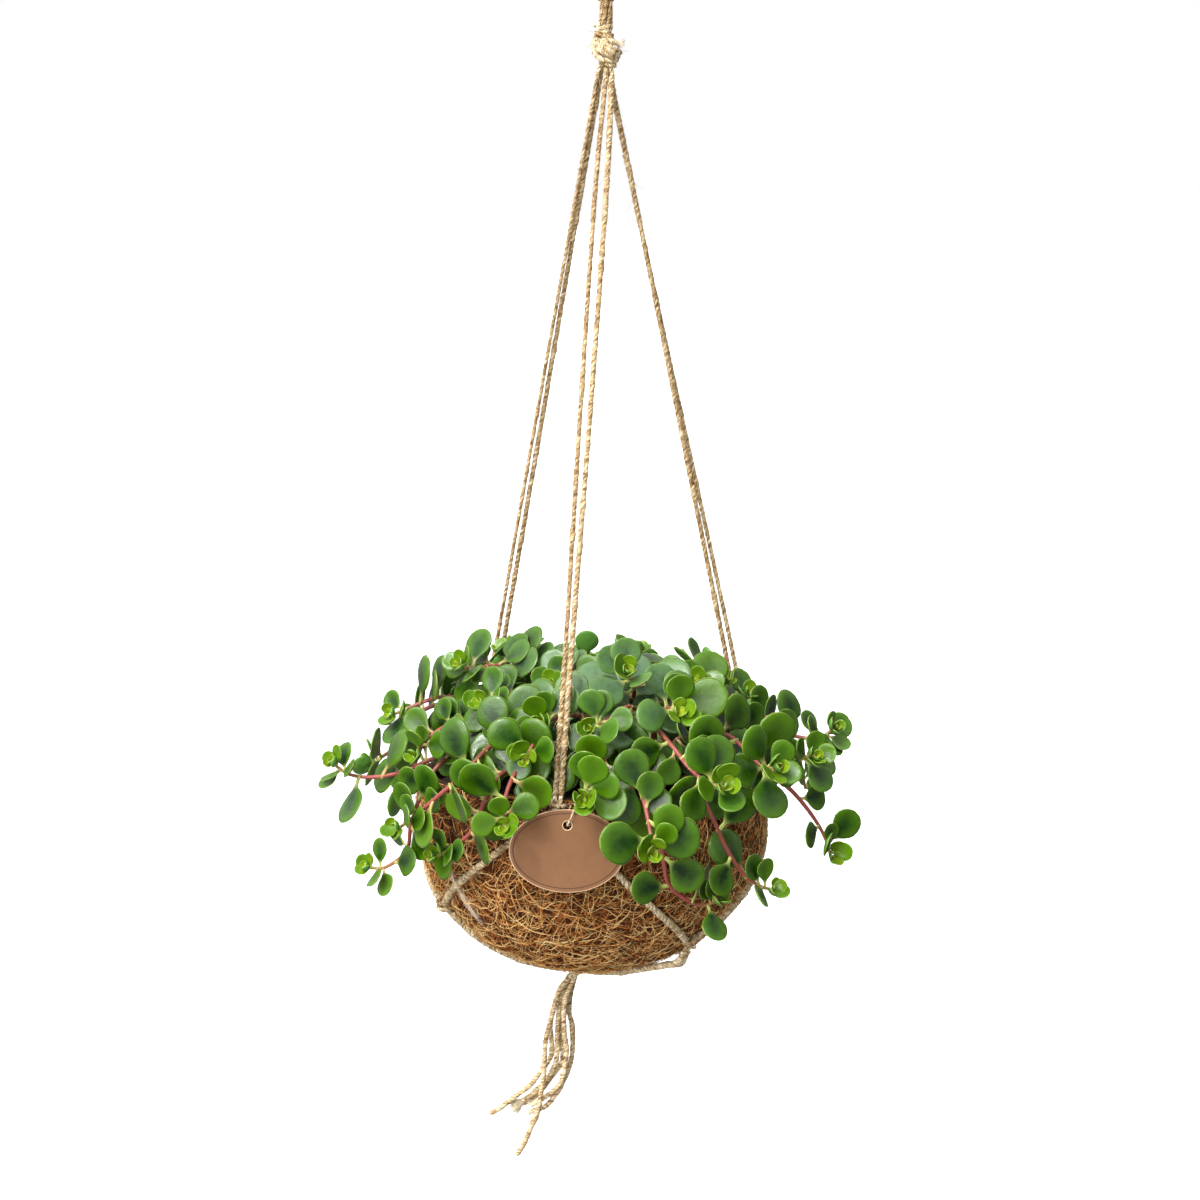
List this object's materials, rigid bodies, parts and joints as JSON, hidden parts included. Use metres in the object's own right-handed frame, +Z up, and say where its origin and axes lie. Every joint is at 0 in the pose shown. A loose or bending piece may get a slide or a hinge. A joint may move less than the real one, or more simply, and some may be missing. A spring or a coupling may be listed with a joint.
{
  "type": "hanging succulent in a coir bowl",
  "caption": "Round-leaved trailing succulent in a coir fibre bowl, hung in a knotted net of jute strands with loose tails and an oval tag.",
  "frame": {"origin": "the place inside the top loop where a hook bears", "axes": "+Z up along the hang line, -Y towards the front with the tag, +X to the right seen from the front"},
  "size_m": [0.3113, 0.2882, 0.7469],
  "materials": {
    "jute": "rough twisted fibre",
    "coir": "coarse matted fibre",
    "soil": "dry crumbly soil",
    "leaf": "smooth waxy leaf",
    "tag": "matt"
  },
  "bodies": {
    "root": {"coir_bowl": "coir", "soil": "soil", "tag": "tag", "tag_tie": "jute", "hanging_loop": "jute", "top_knot": "jute", "rim_knot_front": "jute", "rim_knot_right": "jute", "rim_knot_left": "jute", "hanger_front_a": "jute", "hanger_front_b": "jute", "hanger_right_a": "jute", "hanger_right_b": "jute", "hanger_left_a": "jute", "hanger_left_b": "jute", "side_knot_left": "jute", "side_knot_right": "jute", "side_knot_back": "jute", "net_1": "jute", "net_2": "jute", "net_3": "jute", "net_4": "jute", "net_5": "jute", "net_6": "jute", "under_1": "jute", "under_2": "jute", "under_3": "jute", "under_4": "jute", "under_5": "jute", "under_6": "jute", "bottom_knot": "jute", "tail_1": "jute", "tail_2": "jute", "tail_3": "jute", "tail_4": "jute", "tail_5": "jute", "tail_6": "jute", "shoot_far_left": "leaf", "shoot_low_left": "leaf", "shoot_long_left": "leaf", "shoot_front_left": "leaf", "shoot_top_left": "leaf", "shoot_crest_left": "leaf", "shoot_front_mid": "leaf", "shoot_crest_mid": "leaf", "shoot_top_right": "leaf", "shoot_front_right": "leaf", "shoot_low_front": "leaf", "shoot_bottom_right": "leaf", "shoot_low_right": "leaf", "shoot_far_low_right": "leaf", "shoot_far_right": "leaf", "shoot_top_front": "leaf", "shoot_back_1": "leaf", "shoot_back_2": "leaf", "shoot_back_3": "leaf", "shoot_back_4": "leaf", "shoot_back_5": "leaf", "shoot_back_6": "leaf", "shoot_back_7": "leaf"}
  },
  "joints": []
}
